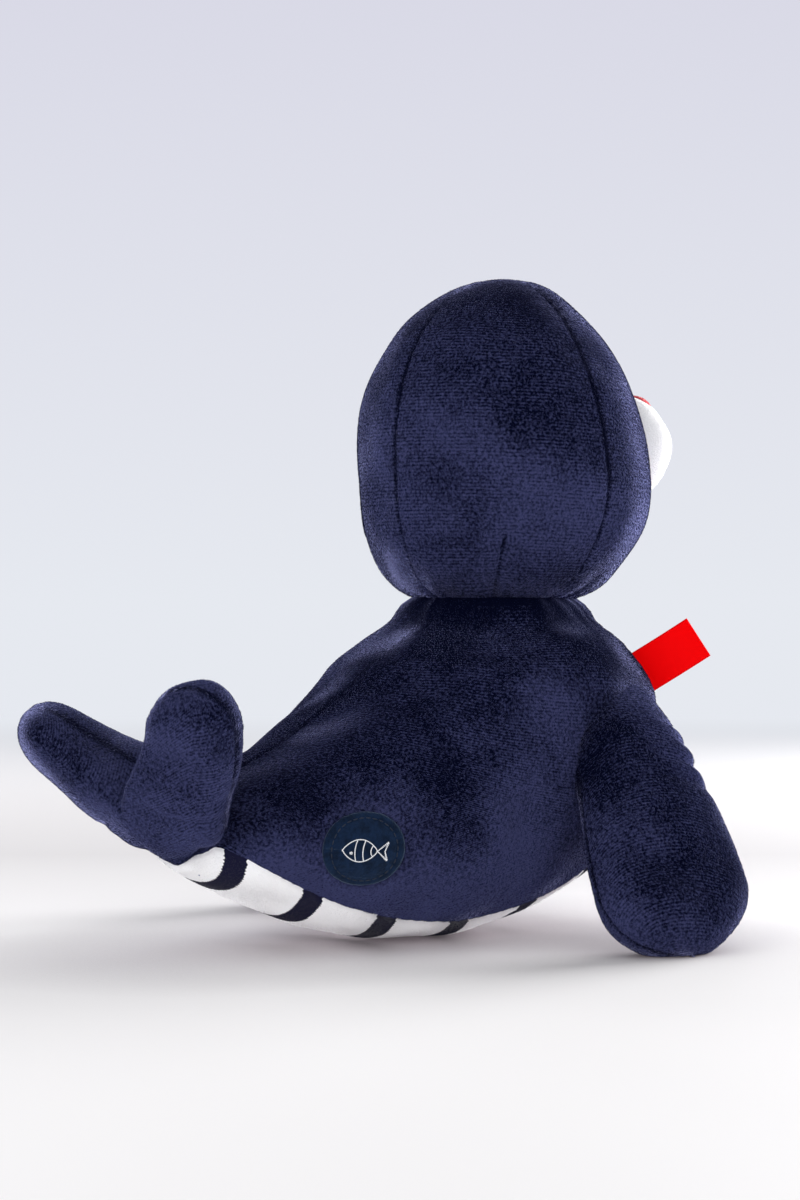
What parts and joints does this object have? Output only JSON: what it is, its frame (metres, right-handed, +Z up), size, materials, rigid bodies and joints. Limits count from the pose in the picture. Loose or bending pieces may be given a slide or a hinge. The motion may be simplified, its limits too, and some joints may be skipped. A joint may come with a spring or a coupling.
{
  "type": "stuffed toy seal",
  "caption": "Sitting stuffed toy seal in navy pile cloth, with a striped belly, white muzzle, red nose, soft flippers that bend and a head that turns and nods.",
  "frame": {"origin": "on the floor, under the middle of the seal's box", "axes": "+Z up, -Y the way the seal looks, +X its left side"},
  "size_m": [0.213, 0.2428, 0.221],
  "materials": {
    "navy_pile": "short brushed pile",
    "striped_jersey": "brushed jersey with navy cross stripes",
    "white_pile": "short white pile",
    "red_cloth": "smooth padded cloth",
    "red_satin": "satin ribbon",
    "eye_thread": "dense satin stitch",
    "navy_felt": "pressed felt with stitching",
    "filling": "polyester fibre filling"
  },
  "bodies": {
    "torso": {"body_left_side": "navy_pile", "body_right_side": "navy_pile", "belly_panel": "striped_jersey", "body_filling": "filling", "hip_patch": "navy_felt"},
    "ribbon": {"ribbon_label": "red_satin"},
    "front_flipper_right": {"front_flipper_right_outer": "navy_pile", "front_flipper_right_inner": "navy_pile", "front_flipper_right_filling": "filling"},
    "front_flipper_left": {"front_flipper_left_outer": "navy_pile", "front_flipper_left_inner": "navy_pile", "front_flipper_left_filling": "filling"},
    "hind_flipper_right": {"hind_flipper_right_outer": "navy_pile", "hind_flipper_right_inner": "navy_pile", "hind_flipper_right_filling": "filling"},
    "hind_flipper_left": {"hind_flipper_left_outer": "navy_pile", "hind_flipper_left_inner": "navy_pile", "hind_flipper_left_filling": "filling"},
    "neck": {"neck_filling": "filling"},
    "head": {"head_front_left": "navy_pile", "head_back_left": "navy_pile", "head_back_right": "navy_pile", "head_front_right": "navy_pile", "head_filling": "filling", "muzzle_cover": "white_pile", "muzzle_filling": "filling", "nose": "red_cloth", "eye_left": "eye_thread", "eye_right": "eye_thread"}
  },
  "joints": [
    {"name": "head_turn", "type": "hinge", "parent": "torso", "child": "neck", "pos_m": [0, -0.04822, 0.0915], "axis": [0, 0, 1], "range_deg": [-40, 40], "stiffness_Nm_per_rad": 0.25},
    {"name": "head_nod", "type": "hinge", "parent": "neck", "child": "head", "pos_m": [0, -0.04822, 0.0915], "axis": [1, 0, 0], "range_deg": [-10, 10], "stiffness_Nm_per_rad": 0.6},
    {"name": "front_flipper_right_lift", "type": "hinge", "parent": "torso", "child": "front_flipper_right", "pos_m": [-0.06116, -0.05367, 0.05744], "axis": [0.315, 0.946, 0.0764], "range_deg": [-8, 60], "stiffness_Nm_per_rad": 0.15, "springref_deg": -5.73},
    {"name": "front_flipper_left_lift", "type": "hinge", "parent": "torso", "child": "front_flipper_left", "pos_m": [0.06116, -0.05367, 0.05744], "axis": [0.315, -0.946, -0.0764], "range_deg": [-8, 60], "stiffness_Nm_per_rad": 0.15, "springref_deg": -5.73},
    {"name": "hind_flipper_right_bend", "type": "hinge", "parent": "torso", "child": "hind_flipper_right", "pos_m": [-0.01423, 0.08969, 0.04543], "axis": [-0.6691, -0.7431, 0], "range_deg": [-25, 25], "stiffness_Nm_per_rad": 0.06},
    {"name": "hind_flipper_left_bend", "type": "hinge", "parent": "torso", "child": "hind_flipper_left", "pos_m": [0.01423, 0.08969, 0.04543], "axis": [-0.6691, 0.7431, 0], "range_deg": [-25, 25], "stiffness_Nm_per_rad": 0.06},
    {"name": "ribbon_flip", "type": "hinge", "parent": "torso", "child": "ribbon", "pos_m": [-0.03484, -0.08678, 0.08729], "axis": [-0.3602, -0.3971, -0.8442], "range_deg": [-35, 35], "stiffness_Nm_per_rad": 0.0005}
  ]
}
